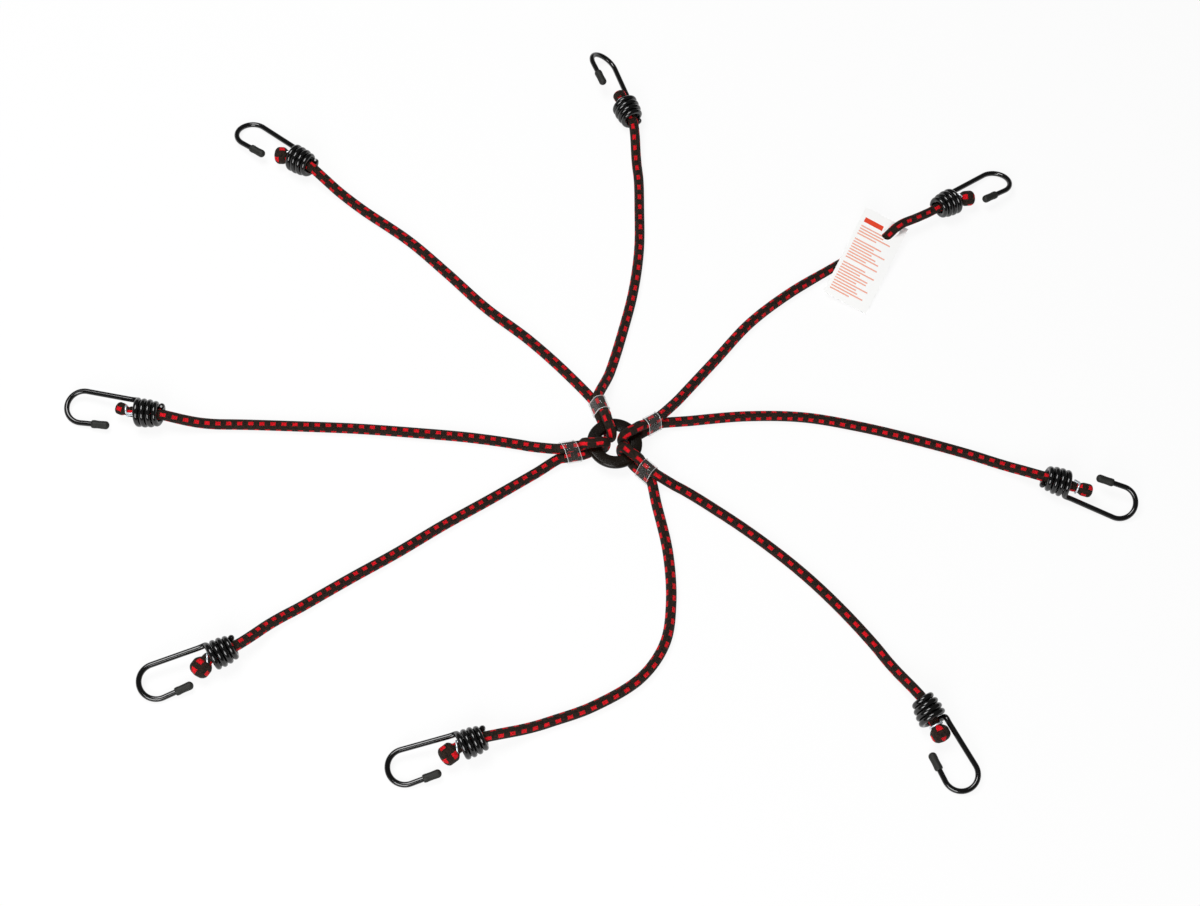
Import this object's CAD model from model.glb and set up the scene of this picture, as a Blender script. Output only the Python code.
"""Multi-arm bungee strap: cords, centre ring, clear sleeves, coated wire hooks, rubber caps and hang tag."""

import math

import bmesh
import bpy
import numpy as np
from mathutils import Matrix, Vector

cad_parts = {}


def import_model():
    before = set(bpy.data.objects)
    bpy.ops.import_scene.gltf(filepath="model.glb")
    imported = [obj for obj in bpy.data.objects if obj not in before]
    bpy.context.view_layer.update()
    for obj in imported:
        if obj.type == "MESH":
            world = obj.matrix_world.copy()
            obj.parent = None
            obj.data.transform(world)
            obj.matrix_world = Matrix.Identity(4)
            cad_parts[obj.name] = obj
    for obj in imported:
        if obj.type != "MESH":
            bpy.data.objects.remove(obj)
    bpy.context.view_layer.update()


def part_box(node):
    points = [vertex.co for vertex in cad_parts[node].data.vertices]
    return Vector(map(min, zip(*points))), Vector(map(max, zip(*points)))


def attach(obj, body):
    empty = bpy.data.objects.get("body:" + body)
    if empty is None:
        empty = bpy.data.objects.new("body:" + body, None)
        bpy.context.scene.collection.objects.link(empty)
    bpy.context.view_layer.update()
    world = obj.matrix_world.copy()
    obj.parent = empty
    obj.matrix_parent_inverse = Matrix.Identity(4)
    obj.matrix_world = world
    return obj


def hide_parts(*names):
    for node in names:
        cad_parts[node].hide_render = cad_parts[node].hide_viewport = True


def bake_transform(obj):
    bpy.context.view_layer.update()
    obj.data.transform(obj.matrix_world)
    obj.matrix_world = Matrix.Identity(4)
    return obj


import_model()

MM = 0.001
TURN = 2 * math.pi

# Sizes of the real pieces, in millimetres and degrees
CORD = 8.0
SHEATH = 0.15  # by which the braid stands out of the cord
CLEARANCE = 0.3
STRAND_SPACING = CORD + CLEARANCE
RING_OUTER, RING_INNER, RING_THICKNESS = 22.0, 12.0, 5.0
RING_OUTER_BEVEL, RING_INNER_BEVEL, RING_ROUNDING = 1.3, 0.8, 0.5
RING_CLEARANCE = 0.45
RING_BOTTOM = CORD + RING_CLEARANCE
SLEEVE_LENGTH, SLEEVE_WALL, SLEEVE_LEAD, SLEEVE_EDGE = 11.5, 0.9, 1.2, 0.15
SLEEVE_BORE = (CORD / 2 + CLEARANCE) / math.cos(math.pi / 14)
FORK, DROP = 9.0, 18.0  # past the sleeve, where arm and loop part, and over which an arm comes down
WIRE = 4.3
COIL_TURNS, COIL_PITCH, COIL_WIDE, COIL_NARROW, COIL_SWELL = 4, 4.75, 9.1, 6.65, 0.7
COIL_LENGTH = COIL_TURNS * COIL_PITCH
COIL_THICKNESS = 1.08  # of the wire as it lies in the coil
EXIT_ANGLE, EXIT_LENGTH, EXIT_REACH = 32.0, 7.0, 5.2
SHANK_OFFSET, BEND_RADIUS, BEND_DISTANCE, LEG = 9.9, 13.0, 44.1, 9.4
CAP_LENGTH, CAP_DIAMETER, CAP_MOUTH, CAP_BORE, CAP_NOSE, CAP_FIT = 14.2, 6.5, 5.9, 11.0, 2.9, 0.12
CRIMP_WIRE, CRIMP_FIT, CRIMP_ENDS = 1.5, 0.12, 1.05  # wire, its gap to the cord, its ends' spacing in wires
TIP_START, TIP_GAP, WAIST_LENGTH, LEAN_LENGTH = 0.8, 0.35, 3.0, 3.6
TIP_BLUNT = 0.12  # share of a cord's end that is left flat
TAG_WIDTH, TAG_LENGTH, TAG_THICKNESS = 40.0, 90.0, 0.5
TAG_FROM_TOP, TAG_FROM_SIDE, TAG_TURN = 11.0, 12.0, 30.0
TAG_HOLE_WIDTH, TAG_HOLE_LENGTH = 9.2, 17.0
TAG_PLACE, TAG_AZIMUTH = (200, 244), 43.0
TAG_CORD, CROSSING = 63.0, 16.0  # where the cord straightens for the tag, and over which it climbs through it
STRETCHED_PITCH, STRETCH_SPREAD = 10.6, 30.0  # of the dashes where a cord is drawn round the ring

# How finely the pieces are drawn
CORD_STEP = 1.7
CORD_SIDES, WIRE_SIDES, CRIMP_SIDES, CAP_SIDES, RING_SIDES = 24, 20, 12, 32, 128
SPAN_STEPS, TURN_STEPS, EXIT_STEPS, BEND_STEPS, CRIMP_STEPS = 60, 36, 13, 32, 60
TIP_SIDE_STEPS, TIP_NOSE_STEPS, CAP_NOSE_STEPS, SLEEVE_POINTS, HOLE_POINTS = 21, 13, 8, 24, 16

# Each cord's arms and the one whose strand lies over the other, its sleeve's direction and near end in ring
# radii, the tilt of its two strands, and the skew of its cuts
CORDS = [
    {"arms": "ab", "azimuth": 118, "near": 1.36, "over": "b", "tilt": 72, "skew": 6},
    {"arms": "cd", "azimuth": 41.5, "near": 1.38, "over": "c", "tilt": 76, "skew": 0},
    {"arms": "ef", "azimuth": -34, "near": 1.29, "over": "e", "tilt": 66, "skew": 0},
    {"arms": "gh", "azimuth": 201, "near": 1.35, "over": "h", "tilt": 50, "skew": -18},
]

# Each arm's route on the surface and its approach to the hook, which rises to the coil's mouth; its coil's
# wide end, the hook's direction, side and raise; the flared end's diameter and reach, the crimp's place, the
# waist under it, the end's lean away from the shank and how much of it is rounded; where round the cord the
# crimp closes and how far its ends reach back and out; and from sleeve to hook the dashes' pitch and the turn
# of their rows round the cord
ARMS = {
    "a": {
        "route": [(-46, 59), (-82, 85), (-121, 108), (-157.5, 134.5), (-194, 159.5), (-234, 180.5)],
        "approach": [(-251, 190, 4.7), (-261.7, 195.8, 6.7), (-271.5, 201.1, 10.1), (-279.9, 205.8, 12.8)],
        "coil": (-303, 218), "azimuth": 153.4, "side": 1, "raise": 9.8,
        "swell": 14.2, "reach": 16.2, "crimp": 3.8, "waist": 8.4, "lean": 36, "round": 0.65,
        "closing": (35, 0.5, 4.5), "pitch": (10.0, 9.9), "roll": (-24, -24, -15),
    },
    "b": {
        "route": [(-13, 67), (-8, 108), (-5, 148), (-6, 189), (-11.5, 230), (-16, 258)],
        "approach": [(-20, 274, 4.7), (-22.5, 285.5, 6.2), (-24.7, 296.1, 8.7), (-27, 305.1, 10.8)],
        "coil": (-39, 328), "azimuth": 121.1, "side": 1, "raise": 36.1,
        "swell": 11.4, "reach": 13.5, "crimp": 3.8, "waist": 7.2, "lean": 0, "round": 0.6,
        "closing": (60, 0, 0), "pitch": (10.2, 9.8), "roll": (15, 36, 75),
    },
    "c": {
        "route": [(46, 54.5), (69.5, 94.5), (93.5, 135.5), (122, 170)],
        "approach": [(209.5, 252.9, 13.1), (218, 258.8, 13.1), (225, 264.1, 12.9), (231, 269, 12.6)],
        "coil": (251, 286), "azimuth": 40.6, "side": -1, "raise": 16.8,
        "swell": 12.8, "reach": 17.8, "crimp": 3.8, "waist": 8, "lean": 25, "round": 0.65,
        "closing": (150, 0, 0), "pitch": (9.0, 9.6), "roll": (-40, 0, 27),
    },
    "d": {
        "route": [(57, 35.5), (102, 48.5), (147, 56), (193, 56), (239, 52.5), (285, 47)],
        "approach": [(302, 43.8, 4.7), (314.2, 40.9, 6.5), (325.3, 37.8, 9.5), (334.9, 35.2, 11.8)],
        "coil": (361, 31), "azimuth": -8.2, "side": 1, "raise": 25.4,
        "swell": 10.8, "reach": 21, "crimp": 8.5, "waist": 7.4, "lean": 4, "round": 0.6,
        "closing": (-150, 4.5, 0.6), "pitch": (8.4, 9.1), "roll": (42, -8, -45),
    },
    "e": {
        "route": [(53, -25), (90, -41.5), (126, -60.5), (161, -82.5), (193, -107), (223, -134)],
        "approach": [(232.9, -144.6, 4.7), (241.3, -153.6, 6.8), (248.9, -161.9, 10.2), (255.4, -169, 12.9)],
        "coil": (271, -190), "azimuth": -55.7, "side": -1, "raise": -9.6,
        "swell": 15, "reach": 17.2, "crimp": 3.8, "waist": 8, "lean": 0, "round": 0.7,
        "closing": (25, 1.5, 0), "pitch": (9.6, 10.6), "roll": (12, 22, 35),
    },
    "f": {
        "route": [
            (40, -43), (55, -85), (63, -128), (62.5, -160.5), (48.5, -191.5), (15.5, -221.5), (-14, -239),
        ],
        "approach": [(-22.7, -244, 4.7), (-33.4, -249.9, 6.9), (-43.3, -255.2, 10.2), (-51.9, -259.6, 12.7)],
        "coil": (-75, -272), "azimuth": -150.9, "side": 1, "raise": -13.2,
        "swell": 15.6, "reach": 18.2, "crimp": 3.8, "waist": 9, "lean": 16, "round": 0.55,
        "closing": (-25, 1.5, 0), "pitch": (10.0, 9.3), "roll": (18, 18, 0),
    },
    "g": {
        "route": [
            (-57.5, -34.5), (-88.5, -63.5), (-120.5, -92.5), (-151.5, -122.5), (-183, -151), (-214, -180),
        ],
        "approach": [(-228, -192.6, 4.7), (-236.3, -201.8, 6.8), (-243.1, -211.2, 10.2), (-249.2, -219, 12.6)],
        "coil": (-270, -235), "azimuth": -145.5, "side": 1, "raise": -19,
        "swell": 15.8, "reach": 18.6, "crimp": 3.8, "waist": 9.4, "lean": 28, "round": 0.7,
        "closing": (-25, 0, 2), "pitch": (8.2, 8.0), "roll": (21, 24, 30),
    },
    "h": {
        "route": [(-66, -11.5), (-112, -12.5), (-157, -16.5), (-203, -21.5), (-248, -28), (-293, -35)],
        "approach": [(-312, -38.6, 4.7), (-324.3, -40.7, 6.7), (-335.8, -42.2, 10), (-345.6, -42.8, 12.6)],
        "coil": (-372, -43), "azimuth": 180.4, "side": 1, "raise": -13.2,
        "swell": 9.8, "reach": 18, "crimp": 8.5, "waist": 7, "lean": -15, "round": 0.6,
        "closing": (-145, 5.0, 0.8), "pitch": (8.7, 8.6), "roll": (-36, -48, -12),
    },
}

ring_low, ring_high = (np.array(c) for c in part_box("centre_ring"))
CENTRE = np.append((ring_low[:2] + ring_high[:2]) / 2, ring_low[2] - RING_BOTTOM * MM)


def world(points):
    """Millimetres from the ring's centre and the surface, as metres in the part's frame."""
    return np.asarray(points, float) * MM + CENTRE


def add_object(name, data):
    obj = bpy.data.objects.new(name, data)
    bpy.context.scene.collection.objects.link(obj)
    return obj


def place_camera():
    """The photograph's camera: 72 mm lens, 61.5 degrees down, rolled 9.5 degrees."""
    down, roll, distance, aim = math.radians(61.5), math.radians(9.5), 1904.8, (-10.1, -4.7, 0)
    right, up = Vector((1, 0, 0)), Vector((0, math.sin(down), math.cos(down)))
    back = Vector((0, -math.cos(down), math.sin(down)))
    x = right * math.cos(roll) + up * math.sin(roll)
    y = up * math.cos(roll) - right * math.sin(roll)
    data = bpy.data.cameras.new("photo_camera")
    data.lens, data.sensor_width, data.clip_end = 72, 36, 50
    camera = add_object("photo_camera", data)
    turned = Matrix((x, y, back)).transposed().to_4x4()
    camera.matrix_world = Matrix.Translation(Vector(world(aim)) + back * distance * MM) @ turned
    bpy.context.scene.camera = camera


# Curves and meshes


def smooth(x):
    """Eases from 0 to 1 as x does."""
    x = np.clip(x, 0, 1)
    return x * x * (3 - 2 * x)


def turned_about_z(points, degrees):
    c, s = math.cos(math.radians(degrees)), math.sin(math.radians(degrees))
    x, y, z = np.asarray(points, float).T
    return np.stack([x * c - y * s, x * s + y * c, z], axis=1)


class Line:
    """A smooth curve through points, measured along its length."""

    def __init__(self, points):
        p = np.asarray(points, float)
        p = np.vstack([2 * p[0] - p[1], p, 2 * p[-1] - p[-2]])
        t = np.arange(SPAN_STEPS)[:, None] / SPAN_STEPS
        out = []
        for a, b, c, d in zip(p, p[1:], p[2:], p[3:]):
            k0, k1, k2 = (max(np.linalg.norm(v) ** 0.5, 1e-4) for v in (b - a, c - b, d - c))
            m1 = ((b - a) / k0 - (c - a) / (k0 + k1) + (c - b) / k1) * k1
            m2 = ((c - b) / k1 - (d - b) / (k1 + k2) + (d - c) / k2) * k1
            out.append(b + m1 * t + (3 * (c - b) - 2 * m1 - m2) * t**2 + (2 * (b - c) + m1 + m2) * t**3)
        self.points = np.vstack(out + [p[-2]])
        self.points[:, 2] = np.maximum(self.points[:, 2], CORD / 2)
        steps = np.linalg.norm(np.diff(self.points, axis=0), axis=1)
        self.at = np.concatenate([[0], np.cumsum(steps)])
        self.length = self.at[-1]

    def __call__(self, s):
        return np.stack([np.interp(s, self.at, self.points[:, k]) for k in range(3)], axis=-1)

    def near(self, point):
        return self.at[np.argmin(((self.points - point) ** 2).sum(axis=1))]


def sections(points):
    """Two directions across a line at each of its points, carried along without twist."""
    steps = np.diff(points, axis=0)
    steps /= np.linalg.norm(steps, axis=1)[:, None]
    along = np.vstack([steps[:1], steps[:-1] + steps[1:], steps[-1:]])
    along /= np.linalg.norm(along, axis=1)[:, None]
    normal = np.array((0.0, 0.0, 1.0))
    out = np.empty((len(points), 2, 3))
    for i, t in enumerate(along):
        normal = normal - t * (normal @ t)
        normal /= np.linalg.norm(normal)
        out[i] = normal, np.cross(t, normal)
    return out


def grid_faces(rows, columns, closed=False):
    """Quads between rows of points that each go once round; closed, the last row joins the first."""
    return [
        (i * columns + k, i * columns + (k + 1) % columns, j * columns + (k + 1) % columns, j * columns + k)
        for i, j in ((i, (i + 1) % rows) for i in range(rows if closed else rows - 1))
        for k in range(columns)
    ]


def new_object(name, verts, faces, smoothed=True):
    mesh = bpy.data.meshes.new(name)
    mesh.from_pydata([tuple(v) for v in verts], [], faces)
    mesh.update()
    if smoothed:
        mesh.shade_smooth()
    return add_object(name, mesh)


def outwards(obj):
    """Joins points that lie on each other, and turns all faces outwards."""
    bm = bmesh.new()
    bm.from_mesh(obj.data)
    bmesh.ops.remove_doubles(bm, verts=bm.verts, dist=1e-7)
    bmesh.ops.recalc_face_normals(bm, faces=bm.faces)
    bm.to_mesh(obj.data)
    bm.free()


def tube(name, points, radii, frames, u, roll):
    """A closed tube; its UV map holds u along the line and the share of a turn round it, less the roll."""
    n, sides = len(points), CORD_SIDES
    angles = np.arange(sides)[None, :, None] / sides * TURN
    ring = np.cos(angles) * frames[:, None, 0] + np.sin(angles) * frames[:, None, 1]
    verts = (points[:, None] + ring * radii[:, None, None]).reshape(-1, 3)
    ends = [tuple(reversed(range(sides))), tuple(range((n - 1) * sides, n * sides))]
    obj = new_object(name, world(verts), grid_faces(n, sides) + ends)
    corners = ((0, 0), (0, 1), (1, 1), (1, 0))
    places = [(i + di, k + dk) for i in range(n - 1) for k in range(sides) for di, dk in corners]
    uv = [(u[i], k / sides - roll[i]) for i, k in places]
    uv += [(u[0], k / sides) for k in reversed(range(sides))] + [(u[-1], k / sides) for k in range(sides)]
    obj.data.uv_layers.new(name="sheath").data.foreach_set("uv", np.array(uv, np.float32).ravel())
    return obj


def finish_piece(obj, body, finish, node):
    """Gives a piece its material and says what it rides on and what it replaces."""
    if not obj.data.materials:
        obj.data.materials.append(material(finish))
    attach(obj, body)
    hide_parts(node)


# Hook frames


def dip_of(lift):
    """How far a hook's axis dips outwards, so that its bend too rests on the surface."""
    low, high = math.radians(-20), math.radians(20)
    for _ in range(50):
        dip = (low + high) / 2
        bend = math.hypot(math.sin(dip), math.sin(math.radians(lift)) * math.cos(dip))
        drop = BEND_DISTANCE * math.sin(dip) + BEND_RADIUS * bend
        low, high = (dip, high) if drop < COIL_WIDE else (low, dip)
    return low


def hook_frame(arm):
    """Columns: out along the coil's axis, towards the shank, across; and the narrow end's middle."""
    azimuth, dip, lift = math.radians(arm["azimuth"]), dip_of(arm["raise"]), math.radians(arm["raise"])
    out = np.array([math.cos(azimuth) * math.cos(dip), math.sin(azimuth) * math.cos(dip), -math.sin(dip)])
    left = np.cross((0, 0, 1), out)
    left /= np.linalg.norm(left)
    shank = -(left * math.cos(lift) * arm["side"] + np.cross(out, left) * math.sin(lift))
    origin = np.array([*arm["coil"], COIL_WIDE + WIRE / 2]) - out * COIL_LENGTH
    return np.stack([out, shank, np.cross(out, shank)], axis=1), origin


HOOKS = {name: hook_frame(arm) for name, arm in ARMS.items()}


def in_hook(name, points):
    """Points in a hook's own directions, from its coil's narrow end, as millimetres in the scene."""
    axes, origin = HOOKS[name]
    return np.asarray(points, float) @ axes.T + origin


def on_axis(name, x):
    """A place on the axis of a hook's coil."""
    return in_hook(name, (x, 0, 0))


# Cords

TAG_ALONG = np.array([math.cos(math.radians(TAG_AZIMUTH)), math.sin(math.radians(TAG_AZIMUTH)), 0])
TAG_TOP = CORD + CLEARANCE + TAG_THICKNESS


def on_tag_cord(distance):
    """Arm c's cord near the tag: it climbs through the hole from under the card to over it."""
    climb = (TAG_TOP + CLEARANCE) * smooth(distance / CROSSING + 0.5)
    return np.array([*TAG_PLACE, CORD / 2]) + TAG_ALONG * distance + (0, 0, climb)


def arm_points(name, sleeve_end):
    """An arm's route from its sleeve, where it comes down to the surface, into its coil."""
    points = []
    for x, y in ARMS[name]["route"]:
        s = math.dist((x, y), sleeve_end[:2])
        if s > DROP / 2:
            points.append((x, y, CORD / 2 + (sleeve_end[2] - CORD / 2) * (1 - smooth(s / DROP))))
    if name == "c":
        points += [on_tag_cord(-TAG_CORD * share) for share in (1, 0.72, 0.44)]
        points += [on_tag_cord(CROSSING / 2 * share) for share in (-1, -0.5, 0, 0.5, 1)]
    return points + ARMS[name]["approach"] + [on_axis(name, x) for x in (0, CORD, COIL_LENGTH + TIP_START)]


def loop_points(cord):
    """The strand out of the sleeve, over the ring, down its hole and back under it into the sleeve."""
    near = cord["near"] * RING_OUTER
    far = near + SLEEVE_LENGTH
    tilt = math.radians(cord["tilt"])
    across = math.cos(tilt) * STRAND_SPACING / 2
    lead = SLEEVE_LEAD + math.tan(math.radians(abs(cord["skew"]))) * (across + CORD / 2)
    low = SLEEVE_BORE + SLEEVE_WALL
    high = low + math.sin(tilt) * STRAND_SPACING
    side = 1 if cord["over"] == cord["arms"][0] else -1
    hug = CORD / 2 + RING_CLEARANCE
    top, band = RING_BOTTOM + RING_THICKNESS, (RING_INNER + RING_OUTER) / 2
    edge = RING_OUTER - RING_OUTER_BEVEL
    turn = [(0, 1), (0.7, 0.72), (1, 0)]  # a quarter of the way round the ring's edge
    points = [(u, side * across, high) for u in (far + lead, far, near, near - lead)]
    points += [(edge + i * hug, side * across * i, top + j * hug) for i, j in ((0.8, 0.64), (0.3, 0.98))]
    points += [(band, 0, top + hug)]
    points += [(RING_INNER - i * hug, 0, top + j * hug) for i, j in turn]
    points += [(RING_INNER - i * hug, 0, RING_BOTTOM - j * hug) for i, j in reversed(turn)]
    points += [(band, 0, CORD / 2), (RING_OUTER, -side * across / 2, CORD / 2)]
    points += [(u, -side * across, low) for u in (near - lead, near, far, far + lead)]
    return turned_about_z(points, cord["azimuth"])


def tip_place(name, along):
    """A place on the centre line of a cord's end, measured from where its neck starts, and the turn there."""
    arm = ARMS[name]
    lean = math.radians(arm["lean"]) * np.clip(along / LEAN_LENGTH, 0, 1)
    chord = np.minimum(along, LEAN_LENGTH) * np.sinc(lean / TURN)
    after = np.maximum(along - LEAN_LENGTH, 0)
    x = COIL_LENGTH + arm["crimp"] - WAIST_LENGTH + chord * np.cos(lean / 2) + after * np.cos(lean)
    y = -chord * np.sin(lean / 2) - after * np.sin(lean)
    return in_hook(name, np.stack([x, y, 0 * x], axis=-1)), lean


def tip_line(name):
    """Stations, places and radii of a cord's end: pinched by the crimp, then flared and rounded off."""
    arm = ARMS[name]
    start, tip = TIP_START + WAIST_LENGTH - arm["crimp"], WAIST_LENGTH + arm["reach"] - arm["crimp"]
    full, waist, swell = CORD / 2 + SHEATH, arm["waist"] / 2, arm["swell"] / 2
    rounding = arm["round"] * swell
    side = np.linspace(start + TIP_GAP, tip - rounding, TIP_SIDE_STEPS + 1)[:-1]
    nose = tip - rounding * np.cos(np.linspace(0, math.pi / 2, TIP_NOSE_STEPS + 1))
    along = np.concatenate([[start], side, nose])
    neck = full + (waist - full) * smooth(along / (WAIST_LENGTH * 0.6))
    bulge = WAIST_LENGTH + CRIMP_WIRE / 2
    # An end swells to its full width over this length, sooner where less of it is rounded
    rise = (tip - bulge) * (0.36 if arm["round"] > 0.55 else 0.26)
    flare = waist + (swell - waist) * np.sqrt(smooth((along - bulge) / rise))
    end = np.clip((along - (tip - rounding)) / rounding, 0, 1)
    closing = TIP_BLUNT + (1 - TIP_BLUNT) * np.sqrt(np.maximum(1 - end**2, 0))
    return along, tip_place(name, along)[0], np.where(along < bulge, neck, flare) * closing


def dash_places(s, near, far, total, one, two):
    """Along the cord: the count of dashes passed, and the share of a turn by which their rows have turned."""
    at = [0, near - STRETCH_SPREAD, near, far, far + STRETCH_SPREAD, total]
    pitch = np.interp(s, at, [*one["pitch"][::-1], STRETCHED_PITCH, STRETCHED_PITCH, *two["pitch"]])
    at = [0, near / 2, near, far, (far + total) / 2, total]
    roll = np.interp(s, at, [*one["roll"][::-1], *two["roll"]]) / 360
    return np.concatenate([[0], np.cumsum(np.diff(s) / ((pitch[1:] + pitch[:-1]) / 2))]), roll


def make_cord(cord):
    """A cord from tip to tip as one line, cut into loop, arms and tips; gives its arms' lengths."""
    title, first = cord["arms"], cord["over"]
    second = title.replace(first, "")
    loop = loop_points(cord)
    out, back = arm_points(first, loop[0]), arm_points(second, loop[-1])
    line = Line([*reversed(out), *loop, *back])
    near, far, total = line.near(loop[0]) - FORK, line.near(loop[-1]) + FORK, line.length
    # Stations all along the cord, with one at each cut
    s = np.unique(np.concatenate([np.linspace(0, total, int(total / CORD_STEP)), [near, far]]).round(5))
    (along, tip, tip_radius), (along2, tip2, tip_radius2) = tip_line(first), tip_line(second)
    before = len(along) - 1
    cut, far_cut, last = (before + int(np.searchsorted(s, k - 1e-4)) for k in (near, far, total))
    # Near the tag the cord is squeezed a little, so that the card can swing
    slack = smooth(np.linalg.norm(line(s)[:, :2] - TAG_PLACE, axis=1) / (4 * CORD) - 2)
    radius = np.concatenate([tip_radius[:0:-1], CORD / 2 + SHEATH * (2 * slack - 1), tip_radius2[1:]])
    centre = np.vstack([tip[:0:-1], line(s), tip2[1:]])
    s = np.concatenate([(along[0] - along)[:0:-1], s, (total + along2 - along2[0])[1:]])
    u, roll = dash_places(s, near, far, total, ARMS[first], ARMS[second])
    frames = sections(centre)
    spans = {
        "cord_tip_" + first: (0, before - 1),
        "cord_arm_" + first: (before, cut),
        "cord_loop_" + title: (cut, far_cut),
        "cord_arm_" + second: (far_cut, last),
        "cord_tip_" + second: (last + 1, len(s) - 1),
    }
    parts = {}
    for name, (start, stop) in spans.items():
        keep = slice(start, stop + 1)
        parts[name] = tube(name, centre[keep], radius[keep], frames[keep], u[keep], roll[keep])
        parts[name].data.materials.append(material("braided_sheath"))
    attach(parts["cord_loop_" + title], "centre")
    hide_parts("loop_" + title)
    lengths = {}
    for n, path in ((first, centre[before : cut + 1][::-1]), (second, centre[far_cut : last + 1])):
        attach(parts["cord_tip_" + n], "hook_" + n)
        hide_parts("cord_tip_" + n)
        obj = parts["cord_arm_" + n]
        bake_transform(obj)
        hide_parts("arm_cord_" + n, "cord_end_" + n)
        length = float(np.linalg.norm(np.diff(path, axis=0), axis=1).sum())
        lengths[n] = length + ARMS[n]["reach"] - TIP_START
    return lengths


# Materials


def operation(kind):
    """A method of Value that adds one maths node to its shader."""
    return lambda value, *others: value.maths(kind, *others)


class Value:
    """A socket that takes part in sums, so that shader maths reads as Python."""

    def __init__(self, shader, socket):
        self.shader, self.socket = shader, socket

    def maths(self, kind, *others):
        return self.shader.node("ShaderNodeMath", {"operation": kind}, dict(enumerate((self, *others))))

    __add__ = operation("ADD")
    __mul__ = operation("MULTIPLY")
    __sub__ = operation("SUBTRACT")
    __truediv__ = operation("DIVIDE")
    __pow__ = operation("POWER")
    __lt__ = operation("LESS_THAN")
    __gt__ = operation("GREATER_THAN")
    __abs__ = operation("ABSOLUTE")
    floor = operation("FLOOR")
    fraction = operation("FRACT")
    sine = operation("SINE")
    most = operation("MAXIMUM")

    def ramp(self, low, high):
        settings = {"interpolation_type": "SMOOTHSTEP"}
        inputs = {"Value": self, "From Min": low, "From Max": high}
        return self.shader.node("ShaderNodeMapRange", settings, inputs)


class Shader:
    """A material's node tree with one Principled surface."""

    def __init__(self, name):
        self.material = bpy.data.materials.new(name)
        self.material.use_nodes = True
        self.tree = self.material.node_tree
        self.surface = self.tree.nodes["Principled BSDF"]

    def node(self, kind, settings=None, inputs=None, output=0):
        n = self.tree.nodes.new(kind)
        for key, value in (settings or {}).items():
            setattr(n, key, value)
        for key, value in (inputs or {}).items():
            self.put(n.inputs[key], value)
        return Value(self, n.outputs[output])

    def put(self, socket, value):
        if isinstance(value, Value):
            self.tree.links.new(value.socket, socket)
        elif isinstance(value, tuple) and socket.type == "RGBA":
            socket.default_value = (*value, 1)
        else:
            socket.default_value = value

    def coordinates(self, kind="Object"):
        return Value(self, self.tree.nodes.new("ShaderNodeTexCoord").outputs[kind])

    def split(self, vector):
        n = self.tree.nodes.new("ShaderNodeSeparateXYZ")
        self.put(n.inputs[0], vector)
        return [Value(self, o) for o in n.outputs]

    def noise(self, scale, detail, at=None):
        inputs = {"Vector": at or self.coordinates(), "Scale": scale, "Detail": detail}
        return self.node("ShaderNodeTexNoise", None, inputs)

    def mix(self, factor, a, b):
        n = self.tree.nodes.new("ShaderNodeMix")
        n.data_type = "RGBA"
        # Of this node's sockets, 0, 6 and 7 are the factor and the two colours, and output 2 is the colour
        for socket, value in zip((n.inputs[0], n.inputs[6], n.inputs[7]), (factor, a, b)):
            self.put(socket, value)
        return Value(self, n.outputs[2])

    def bump(self, height, distance):
        self.set(Normal=self.node("ShaderNodeBump", None, {"Height": height, "Distance": distance}))

    def set(self, **sockets):
        for key, value in sockets.items():
            self.put(self.surface.inputs[key.replace("_", " ")], value)


def braided_sheath():
    """Black plaited sheath with rows of red dashes, each dash made of whole strands."""
    m = Shader("braided_sheath")
    u, v, _ = m.split(m.coordinates("UV"))
    rows, around, lengthwise = 4, 32, 10
    dash_length, dash_width = 0.45, 0.4  # as shares of the dashes' pitch and of their rows' spacing
    x, y = u * lengthwise, v * around
    first, second = x + y, x - y
    i, j = first.floor(), second.floor()
    strand_u, strand_v = (i + j + 1) / (2 * lengthwise), (i - j) / (2 * around)
    row = strand_v * rows
    along = abs((strand_u + row.floor() * 0.5).fraction() - 0.5)
    across = abs(row.fraction() - 0.5)
    dash = (along < dash_length / 2) * (across < dash_width / 2)
    strand = m.node("ShaderNodeCombineXYZ", None, {0: i * 0.37, 1: j * 0.53})  # a place in the noise for each
    tone = m.noise(1.0, 1.0, strand).ramp(0.3, 0.7)
    black = m.mix(tone, (0.01, 0.0062, 0.004), (0.033, 0.0185, 0.012))
    red = m.mix(tone, (0.6, 0.0022, 0.0075), (0.87, 0.007, 0.018))
    ridge = abs((first * math.pi).sine()) * abs((second * math.pi).sine())
    m.set(Base_Color=m.mix(dash, black, red), Roughness=tone * 0.15 + 0.55, Specular_IOR_Level=0.16)
    m.bump(ridge**0.5, 0.0004)
    return m.material


def moulded_ring():
    m = Shader("moulded_ring")
    grain = m.noise(900, 3)
    colour = m.mix(grain, (0.0045, 0.003, 0.0018), (0.009, 0.006, 0.0035))
    m.set(Base_Color=colour, Roughness=grain * 0.1 + 0.2, Specular_IOR_Level=0.16)
    m.bump(grain + m.noise(90, 2) * 2, 0.00008)
    return m.material


def clear_sleeve():
    """See-through film, paler and denser at its cut edges and where it is seen from the side."""
    m = Shader("clear_sleeve")
    u, _, _ = m.split(m.coordinates("UV"))
    edge = abs(u - 0.5).ramp(0.46, 0.495)
    haze = m.noise(60, 1)
    rim = m.node("ShaderNodeLayerWeight", None, {"Blend": 0.5}, 1) ** 3
    colour = m.mix(edge.most(rim), (0.16, 0.16, 0.155), (0.93, 0.94, 0.94))
    m.set(Base_Color=colour, Roughness=haze * 0.06 + 0.05)
    m.set(Alpha=edge * 0.6 + rim * 0.25 + haze * 0.05 + 0.06, Specular_IOR_Level=1.0)
    return m.material


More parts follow.
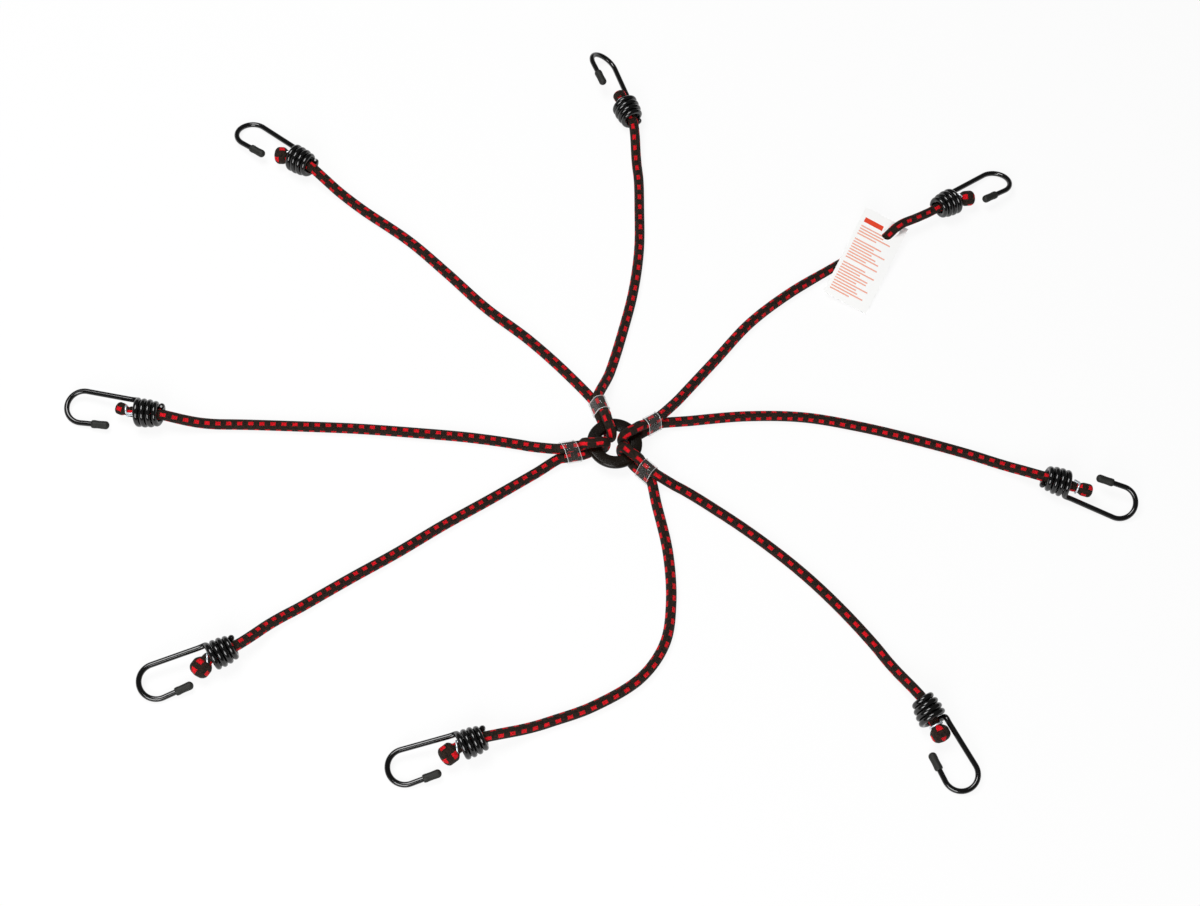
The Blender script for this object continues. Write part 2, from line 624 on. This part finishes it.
def gloss_wire():
    m = Shader("gloss_wire")
    ripple = m.noise(60, 1)
    colour = m.mix(ripple, (0.0015, 0.0015, 0.0015), (0.004, 0.004, 0.004))
    m.set(Base_Color=colour, Roughness=ripple * 0.05 + 0.1, Specular_IOR_Level=0.6)
    return m.material


def cap_rubber():
    m = Shader("cap_rubber")
    grain = m.noise(700, 3)
    colour = m.mix(grain, (0.01, 0.0105, 0.009), (0.018, 0.019, 0.016))
    m.set(Base_Color=colour, Roughness=grain * 0.15 + 0.5, Specular_IOR_Level=0.3)
    m.bump(grain, 0.0001)
    return m.material


def crimp_zinc():
    m = Shader("crimp_zinc")
    grain = m.noise(600, 3)
    colour = m.mix(grain, (0.55, 0.64, 0.7), (0.82, 0.87, 0.9))
    m.set(Base_Color=colour, Roughness=grain * 0.15 + 0.3, Metallic=0.7)
    return m.material


def white_card():
    """White card with a plain bar over ruled lines of uneven length, in blocks."""
    m = Shader("white_card")
    across, along, _ = m.split(m.coordinates("UV"))
    fibre = m.noise(1500, 3)
    lines, gaps = 33, (22, 13)  # how many lines the card's length holds, and those left out between blocks
    place = along * lines
    row = place.floor()
    right = (row * 2.4).sine() * 0.16 + 0.68
    line = (abs(place.fraction() - 0.5) < 0.24) * (across > 0.08) * (across < right)
    line = line * (along > 0.06) * (along < 0.818)
    for gap in gaps:
        line = line * (abs(row - gap) > 0.5)
    bar = (across > 0.09) * (across < 0.52) * (along > 0.85) * (along < 0.902)
    paper = m.mix(fibre, (0.93, 0.93, 0.92), (0.97, 0.97, 0.96))
    printed = m.mix(line * 0.8, paper, (0.82, 0.24, 0.12))
    m.set(Base_Color=m.mix(bar, printed, (0.75, 0.05, 0.012)), Roughness=fibre * 0.1 + 0.5)
    m.bump(fibre, 0.00004)
    return m.material


FINISHES = (braided_sheath, moulded_ring, clear_sleeve, gloss_wire, cap_rubber, crimp_zinc, white_card)
MAKERS = {f.__name__: f for f in FINISHES}


def material(name):
    return bpy.data.materials.get(name) or MAKERS[name]()


# Geometry Nodes: a wire along a drawn line, its thickness varied by an attribute


def wire_tree():
    tree = bpy.data.node_groups.new("drawn_wire", "GeometryNodeTree")
    add, link = tree.nodes.new, tree.links.new
    kinds = {"Line": "Geometry", "Wire Radius": "Float", "Sides": "Int", "Finish": "Material"}
    for name, kind in kinds.items():
        tree.interface.new_socket(name, in_out="INPUT", socket_type="NodeSocket" + kind)
    tree.interface.new_socket("Wire", in_out="OUTPUT", socket_type="NodeSocketGeometry")
    into, out = add("NodeGroupInput"), add("NodeGroupOutput")
    curve, circle = add("GeometryNodeMeshToCurve"), add("GeometryNodeCurvePrimitiveCircle")
    sweep, share = add("GeometryNodeCurveToMesh"), add("GeometryNodeInputNamedAttribute")
    shade, finish = add("GeometryNodeSetShadeSmooth"), add("GeometryNodeSetMaterial")
    real = add("GeometryNodeRealizeInstances")
    sweep.inputs["Fill Caps"].default_value = True
    share.inputs["Name"].default_value = "thickness"
    link(share.outputs["Attribute"], sweep.inputs["Scale"])
    link(into.outputs["Sides"], circle.inputs["Resolution"])
    link(into.outputs["Wire Radius"], circle.inputs["Radius"])
    link(circle.outputs[0], sweep.inputs["Profile Curve"])
    link(into.outputs["Finish"], finish.inputs["Material"])
    chain = (into, curve, sweep, shade, finish, real, out)
    for one, two in zip(chain, chain[1:]):
        link(one.outputs[0], two.inputs[0])
    return tree


def drawn_wire(name, points, diameter, sides, finish, thickness=1.0):
    """The wire as a plain mesh, from its centre line in millimetres; thickness may vary along it."""
    mesh = bpy.data.meshes.new(name + "_line")
    mesh.from_pydata([tuple(p) for p in world(points)], [(i, i + 1) for i in range(len(points) - 1)], [])
    share = mesh.attributes.new("thickness", "FLOAT", "POINT")
    share.data.foreach_set("value", np.full(len(points), thickness, np.float32))
    draft = add_object(name + "_line", mesh)
    group = bpy.data.node_groups.get("drawn_wire") or wire_tree()
    modifier = draft.modifiers.new("drawn_wire", "NODES")
    modifier.node_group = group
    values = {"Wire Radius": diameter / 2 * MM, "Sides": sides, "Finish": material(finish)}
    for item in group.interface.items_tree:
        if item.name in values and item.in_out == "INPUT":
            modifier[item.identifier] = values[item.name]
    bpy.context.view_layer.update()
    made = bpy.data.meshes.new_from_object(draft.evaluated_get(bpy.context.evaluated_depsgraph_get()))
    bpy.data.objects.remove(draft)
    return add_object(name, made)


# Hooks


def hook_line():
    """The wire's centre line: coil, bend into the shank, shank, round bend, leg; and its thickness there."""
    last = -math.radians(EXIT_ANGLE)
    share = np.linspace(0, 1, COIL_TURNS * TURN_STEPS + 1)
    angle = last - (1 - share) * COIL_TURNS * TURN
    radius = COIL_NARROW + (COIL_WIDE - COIL_NARROW) * np.sin(np.minimum(1, share / COIL_SWELL) * math.pi / 2)
    coil = np.stack([share * COIL_LENGTH, np.cos(angle) * radius, np.sin(angle) * radius], axis=1)

    shank = np.array([COIL_LENGTH + EXIT_LENGTH, SHANK_OFFSET, 0])
    centre = np.array([COIL_LENGTH + BEND_DISTANCE, 0, 0])
    towards = centre - shank
    slope = math.atan2(towards[1], towards[0]) + math.asin(BEND_RADIUS / np.linalg.norm(towards))
    leave = np.array([0, -math.sin(last), math.cos(last)])
    along = np.array([math.cos(slope), math.sin(slope), 0])
    a, b, c, d = coil[-1], coil[-1] + leave * EXIT_REACH, shank - along * EXIT_REACH, shank
    t = np.linspace(0, 1, EXIT_STEPS + 1)[1:, None]
    exit_bend = a * (1 - t) ** 3 + 3 * b * t * (1 - t) ** 2 + 3 * c * t**2 * (1 - t) + d * t**3

    angle = math.pi / 2 + slope - (math.pi + slope) * np.linspace(0, 1, BEND_STEPS + 1)
    bend = centre + np.stack([np.cos(angle), np.sin(angle), 0 * angle], axis=1) * BEND_RADIUS
    leg = [(centre[0] - LEG - CAP_BORE + CLEARANCE, -BEND_RADIUS, 0)]

    # The wire's cut end is rounded off, and in the coil it is drawn a little thicker, so that the turns touch
    thin_out = 1 + (COIL_THICKNESS - 1) * (1 - smooth(t[:, 0]))
    thickness = [[0.4, 0.85], np.full(len(coil) - 2, COIL_THICKNESS), thin_out, np.ones(len(bend) + 1)]
    return np.vstack([coil, exit_bend, bend, leg]), np.concatenate(thickness)


def turned_solid(name, profile, steps, place):
    """A solid turned about the x axis from (x, radius) pairs; place carries its points, in millimetres."""
    angles = np.arange(steps) / steps * TURN
    verts, rings = [], []
    for x, r in profile:
        if r < 1e-6:
            rings.append([len(verts)] * steps)
            verts.append((x, 0, 0))
        else:
            rings.append(list(range(len(verts), len(verts) + steps)))
            verts += [(x, r * math.cos(a), r * math.sin(a)) for a in angles]
    faces = []
    for p, q in zip(rings, rings[1:]):
        for k in range(steps):
            face = list(dict.fromkeys([p[k], q[k], q[(k + 1) % steps], p[(k + 1) % steps]]))
            if len(face) > 2:
                faces.append(face)
    obj = new_object(name, world(place(np.array(verts))), faces)
    outwards(obj)
    return obj


def cap_profile():
    """The cap's section: from the floor of its bore round a rolled rim and a slight waist to a round nose."""
    body, rim, bore = CAP_DIAMETER / 2, CAP_MOUTH / 2, WIRE / 2 + CAP_FIT
    # Distances back from the mouth, and radii
    section = [(CAP_BORE, 0), (CAP_BORE, bore), (0.2, bore), (0, bore + 0.15), (0, rim - 0.3)]
    section += [(0.1, rim - 0.08), (0.4, rim + 0.05), (1, rim + 0.22), (1.7, body), (2.4, body + 0.04)]
    section += [(4, body - 0.12), (6.5, body - 0.16), (9, body - 0.05)]
    nose = np.linspace(0, math.pi / 2, CAP_NOSE_STEPS + 1)
    section += [(CAP_LENGTH - CAP_NOSE * (1 - math.sin(a)), body * math.cos(a)) for a in nose]
    mouth = COIL_LENGTH + BEND_DISTANCE - LEG
    return [(mouth - back, radius) for back, radius in section]


def make_hook(name):
    line, thickness = hook_line()
    wire = drawn_wire("hook_wire_" + name, in_hook(name, line), WIRE, WIRE_SIDES, "gloss_wire", thickness)
    finish_piece(wire, "hook_" + name, "gloss_wire", "hook_" + name)
    on_leg = lambda points: in_hook(name, points - (0, BEND_RADIUS, 0))
    cap = turned_solid("tip_cap_" + name, cap_profile(), CAP_SIDES, on_leg)
    finish_piece(cap, "hook_" + name, "cap_rubber", "hook_cap_" + name)
    make_crimp(name)


def make_crimp(name):
    """A ring of wire pressed round the cord's waist, its two ends side by side."""
    arm = ARMS[name]
    closing, back, out = arm["closing"]
    closing = math.radians(closing)
    radius = arm["waist"] / 2 + CRIMP_FIT + CRIMP_WIRE / 2
    half = CRIMP_ENDS * CRIMP_WIRE / 2 / radius  # half the angle between the ends
    angle = closing + np.linspace(half, TURN - half, CRIMP_STEPS + 1)
    x, r = np.zeros(len(angle)), np.full(len(angle), radius)
    if back or out:
        share = np.linspace(0, 1, 8)[1:]
        x = np.concatenate([-back * share[::-1], x, -back * share])
        r = np.concatenate([radius + out * share[::-1], r, radius + out * share])
        apart = half * radius / (radius + out * share)
        angle = np.concatenate([closing + apart[::-1], angle, closing - apart])
    middle, lean = tip_place(name, np.array(WAIST_LENGTH))
    points = np.stack([x, np.cos(angle) * r, np.sin(angle) * r], axis=1)
    turn = np.array([[math.cos(lean), math.sin(lean), 0], [-math.sin(lean), math.cos(lean), 0], [0, 0, 1]])
    place = (points @ turn) @ HOOKS[name][0].T + middle
    ring = drawn_wire("crimp_" + name, place, CRIMP_WIRE, CRIMP_SIDES, "crimp_zinc")
    finish_piece(ring, "hook_" + name, "crimp_zinc", "crimp_ring_" + name)


# Ring, sleeves and tag


def make_ring():
    """The flat ring, its bevels' corners rounded a little."""
    inner, outer, top = RING_INNER, RING_OUTER, RING_THICKNESS
    small, large = RING_INNER_BEVEL, RING_OUTER_BEVEL
    corners = [(inner + small, 0), (outer - large, 0), (outer, large), (outer, top - large)]
    corners += [(outer - large, top), (inner + small, top), (inner, top - small), (inner, small)]
    corners = np.array(corners)
    profile = []
    for k, corner in enumerate(corners):
        a, b = (
            corner + side * min(RING_ROUNDING / np.linalg.norm(side), 0.45)  # under half of a short side
            for side in (corners[k - 1] - corner, corners[(k + 1) % len(corners)] - corner)
        )
        profile += [(1 - s) ** 2 * a + 2 * s * (1 - s) * corner + s * s * b for s in (0, 0.33, 0.67, 1)]
    angles = np.arange(RING_SIDES) / RING_SIDES * TURN
    verts = [(r * math.cos(a), r * math.sin(a), z + RING_BOTTOM) for r, z in profile for a in angles]
    ring = new_object("ring_band", world(verts), grid_faces(len(profile), RING_SIDES, closed=True))
    outwards(ring)
    finish_piece(ring, "ring", "moulded_ring", "centre_ring")


def make_sleeve(cord):
    """A clear oval band round both strands, its cut edges rounded."""
    title, near = cord["arms"], cord["near"] * RING_OUTER
    tilt, skew = math.radians(cord["tilt"]), math.radians(cord["skew"])
    if cord["over"] != title[0]:
        tilt = math.pi - tilt
    middle = SLEEVE_BORE + SLEEVE_WALL + math.sin(tilt) * STRAND_SPACING / 2
    wall, length, edge = SLEEVE_WALL, SLEEVE_LENGTH, SLEEVE_EDGE
    # Once round the wall's section: places along the band and depths into its wall
    section = [(edge, 0), (length / 2, 0), (length - edge, 0), (length, 0.25 * wall), (length, 0.75 * wall)]
    section += [(length - edge, wall), (length / 2, wall), (edge, wall), (0, 0.75 * wall), (0, 0.25 * wall)]
    half_turn = np.linspace(-math.pi / 2, math.pi / 2, SLEEVE_POINTS)
    around = [(end, end * math.cos(a), end * math.sin(a)) for end in (1, -1) for a in half_turn]
    verts, shares = [], []
    for u, depth in section:
        for end, i, j in around:
            p, q = i * (SLEEVE_BORE + depth) + end * STRAND_SPACING / 2, j * (SLEEVE_BORE + depth)
            y, z = p * math.cos(tilt) - q * math.sin(tilt), p * math.sin(tilt) + q * math.cos(tilt)
            verts.append((near + u + math.tan(skew) * y, y, z + middle))
            shares.append(u / length)
    faces = grid_faces(len(section), len(around), closed=True)
    sleeve = new_object("clear_sleeve_" + title, world(turned_about_z(verts, cord["azimuth"])), faces)
    uv = sleeve.data.uv_layers.new(name="band")
    for loop in sleeve.data.loops:
        uv.data[loop.index].uv = (shares[loop.vertex_index], 0.5)
    outwards(sleeve)
    finish_piece(sleeve, "centre", "clear_sleeve", "sleeve_" + title)


def cut_card(outline, hole):
    """A flat card with a hole in it, one thickness deep about height 0."""
    data = bpy.data.curves.new("tag", "CURVE")
    data.dimensions, data.fill_mode = "2D", "BOTH"
    for points in (outline, hole):
        spline = data.splines.new("POLY")
        spline.points.add(len(points) - 1)
        for p, (x, y) in zip(spline.points, points):
            p.co = (x, y, 0, 1)
        spline.use_cyclic_u = True
    data.extrude = TAG_THICKNESS / 2
    draft = add_object("tag", data)
    mesh = bpy.data.meshes.new_from_object(draft)
    bpy.data.objects.remove(draft)
    return mesh


def make_tag():
    """The card, cut flat with the cord's line along x through its hole, then tilted and laid on the cord."""
    left, bottom = TAG_FROM_SIDE - TAG_WIDTH, TAG_FROM_TOP - TAG_LENGTH
    right, top = TAG_FROM_SIDE, TAG_FROM_TOP
    c, s = math.cos(math.radians(TAG_TURN)), math.sin(math.radians(TAG_TURN))
    corners = ((left, bottom), (right, bottom), (right, top), (left, top))
    outline = [(along * c + across * s, along * s - across * c) for across, along in corners]
    half, radius = (TAG_HOLE_LENGTH - TAG_HOLE_WIDTH) / 2, TAG_HOLE_WIDTH / 2
    half_turn = np.linspace(-math.pi / 2, math.pi / 2, HOLE_POINTS)
    hole = [(e * (half + math.cos(a) * radius), e * math.sin(a) * radius) for e in (1, -1) for a in half_turn]
    mesh = cut_card(outline, hole)
    flat = np.array([v.co for v in mesh.vertices])

    lowest = -outline[1][1]
    tilt = math.asin((CORD + CLEARANCE) / lowest)
    x, y, z = (flat + (0, 0, TAG_THICKNESS / 2)).T
    y, z = y * math.cos(tilt) - z * math.sin(tilt), y * math.sin(tilt) + z * math.cos(tilt)
    laid = turned_about_z(np.stack([x, y, z], axis=1), TAG_AZIMUTH) + (*TAG_PLACE, TAG_TOP - TAG_THICKNESS)
    card = new_object("hang_card", world(laid), [tuple(p.vertices) for p in mesh.polygons], smoothed=False)
    uv = card.data.uv_layers.new(name="card")
    for loop in card.data.loops:
        px, py, _ = flat[loop.vertex_index]
        across, along = px * s - py * c, px * c + py * s
        uv.data[loop.index].uv = ((across - left) / TAG_WIDTH, (along - bottom) / TAG_LENGTH)
    outwards(card)
    finish_piece(card, "tag", "white_card", "hang_tag")


# Stage, in metres

FLOOR_REACH = 6.0
LAMP_SIZE, LAMP_DISTANCE, SKY = 1.0, 2.0, 0.1
# Each lamp's name, direction from the part and power in watts
LAMPS = (("overhead", (-0.35, 0.15, 0.92), 31), ("front", (-0.1, -0.83, 0.55), 28))


def make_stage():
    """A pale floor that the camera sees mostly as a glow, so that it reads as white paper."""
    corners = [(x * FLOOR_REACH, y * FLOOR_REACH, 0) for x, y in ((-1, -1), (1, -1), (1, 1), (-1, 1))]
    floor = new_object("floor", corners, [(0, 1, 2, 3)], smoothed=False)
    m = Shader("pale_floor")
    m.set(Base_Color=(0.85, 0.85, 0.85), Roughness=0.9, Specular_IOR_Level=0.1)
    rays = m.tree.nodes.new("ShaderNodeLightPath")
    glow = m.node("ShaderNodeEmission", None, {"Color": (1, 1, 1), "Strength": 1.0})
    kinds = ("Camera", "Glossy", "Transmission")
    camera, glossy, through = (Value(m, rays.outputs[f"Is {kind} Ray"]) for kind in kinds)
    seen = camera.most(glossy).most(through) * 0.9
    shown = m.node("ShaderNodeMixShader", None, {0: seen, 1: Value(m, m.surface.outputs[0]), 2: glow})
    m.put(m.tree.nodes["Material Output"].inputs["Surface"], shown)
    floor.data.materials.append(m.material)


def make_light():
    sky = bpy.data.worlds.new("studio")
    bpy.context.scene.world = sky
    sky.use_nodes = True
    background = sky.node_tree.nodes["Background"]
    background.inputs["Color"].default_value = (1, 1, 1, 1)
    background.inputs["Strength"].default_value = SKY
    for name, towards, watts in LAMPS:
        data = bpy.data.lights.new(name, "AREA")
        data.size, data.energy = LAMP_SIZE, watts
        lamp = add_object(name, data)
        lamp.location = Vector(towards).normalized() * LAMP_DISTANCE
        lamp.rotation_euler = (-Vector(towards)).to_track_quat("-Z", "Y").to_euler()


place_camera()
lengths = {}
for cord in CORDS:
    lengths.update(make_cord(cord))
for name in ARMS:
    make_hook(name)
for cord in CORDS:
    make_sleeve(cord)
make_ring()
make_tag()
make_stage()
make_light()

bpy.context.scene.view_settings.view_transform = "Standard"
print("cord lengths, mm:", {n: round(v) for n, v in sorted(lengths.items())})
